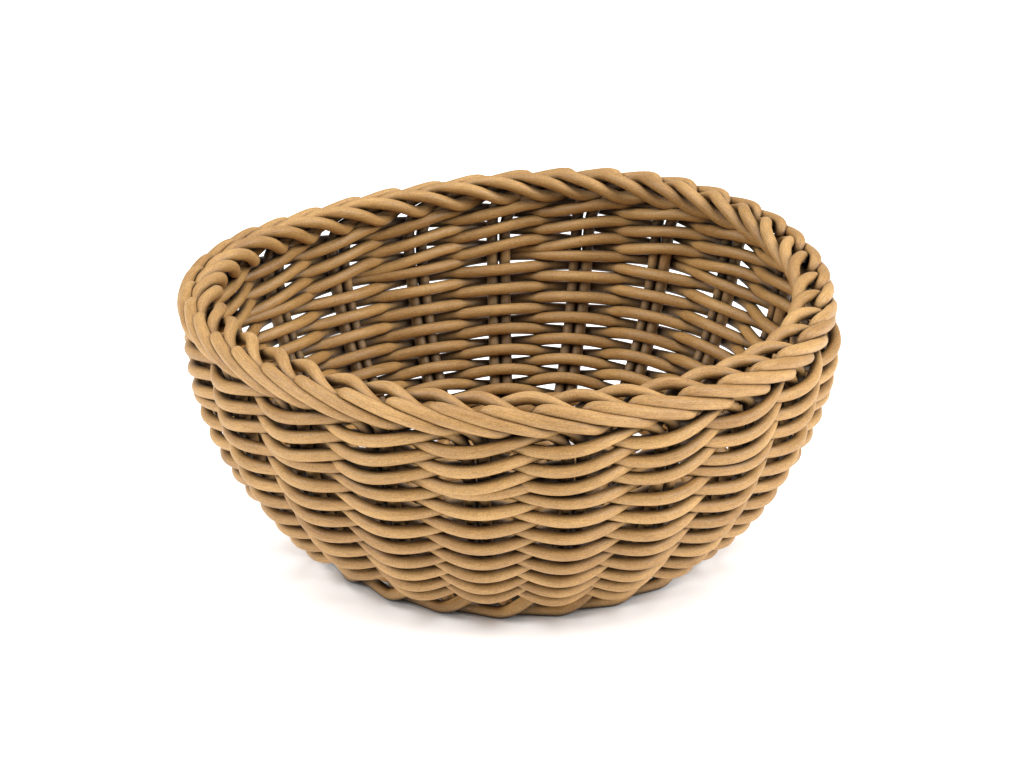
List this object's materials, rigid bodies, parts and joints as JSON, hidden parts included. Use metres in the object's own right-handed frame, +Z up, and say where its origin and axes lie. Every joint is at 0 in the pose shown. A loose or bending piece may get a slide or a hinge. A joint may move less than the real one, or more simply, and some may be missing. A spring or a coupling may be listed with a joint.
{
  "type": "bread basket",
  "caption": "Round open bowl-shaped bread basket, plain-woven from round strand on paired upright rods, with a thick rolled border.",
  "frame": {"origin": "centre of the circle that the foot stands on, at table height", "axes": "+Z up out of the bowl; -Y is the side the warped rim is level on, the rim rises towards +X +Y and drops towards -X +Y"},
  "size_m": [0.2006, 0.201, 0.0894],
  "materials": {
    "stake": "matte grained strand, light brown",
    "weaver": "matte grained strand, light brown",
    "base": "matte grained strand, light brown"
  },
  "bodies": {
    "root": {"base_binding": "base", "base_round_1": "base", "base_round_2": "base", "base_round_3": "base", "base_round_4": "base", "base_stick_odd": "base", "base_sticks_lower": "base", "base_sticks_upper": "base", "foot_round_a": "weaver", "foot_round_b": "weaver", "stake_pair_01": "stake", "stake_pair_02": "stake", "stake_pair_03": "stake", "stake_pair_04": "stake", "stake_pair_05": "stake", "stake_pair_06": "stake", "stake_pair_07": "stake", "stake_pair_08": "stake", "stake_pair_09": "stake", "stake_pair_10": "stake", "stake_pair_11": "stake", "stake_pair_12": "stake", "stake_pair_13": "stake", "stake_pair_14": "stake", "stake_pair_15": "stake", "stake_pair_16": "stake", "stake_pair_17": "stake", "stake_pair_18": "stake", "stake_pair_19": "stake", "stake_pair_20": "stake", "stake_pair_21": "stake", "top_round_1_a": "weaver", "top_round_1_b": "weaver", "top_round_2_a": "weaver", "top_round_2_b": "weaver", "top_round_3_a": "weaver", "top_round_3_b": "weaver", "wall_weaver_1": "weaver", "wall_weaver_2": "weaver", "wall_weaver_3": "weaver", "wall_weaver_4": "weaver", "wall_weaver_5": "weaver", "wall_weaver_6": "weaver", "wall_weaver_7": "weaver", "wall_weaver_8": "weaver"}
  },
  "joints": []
}
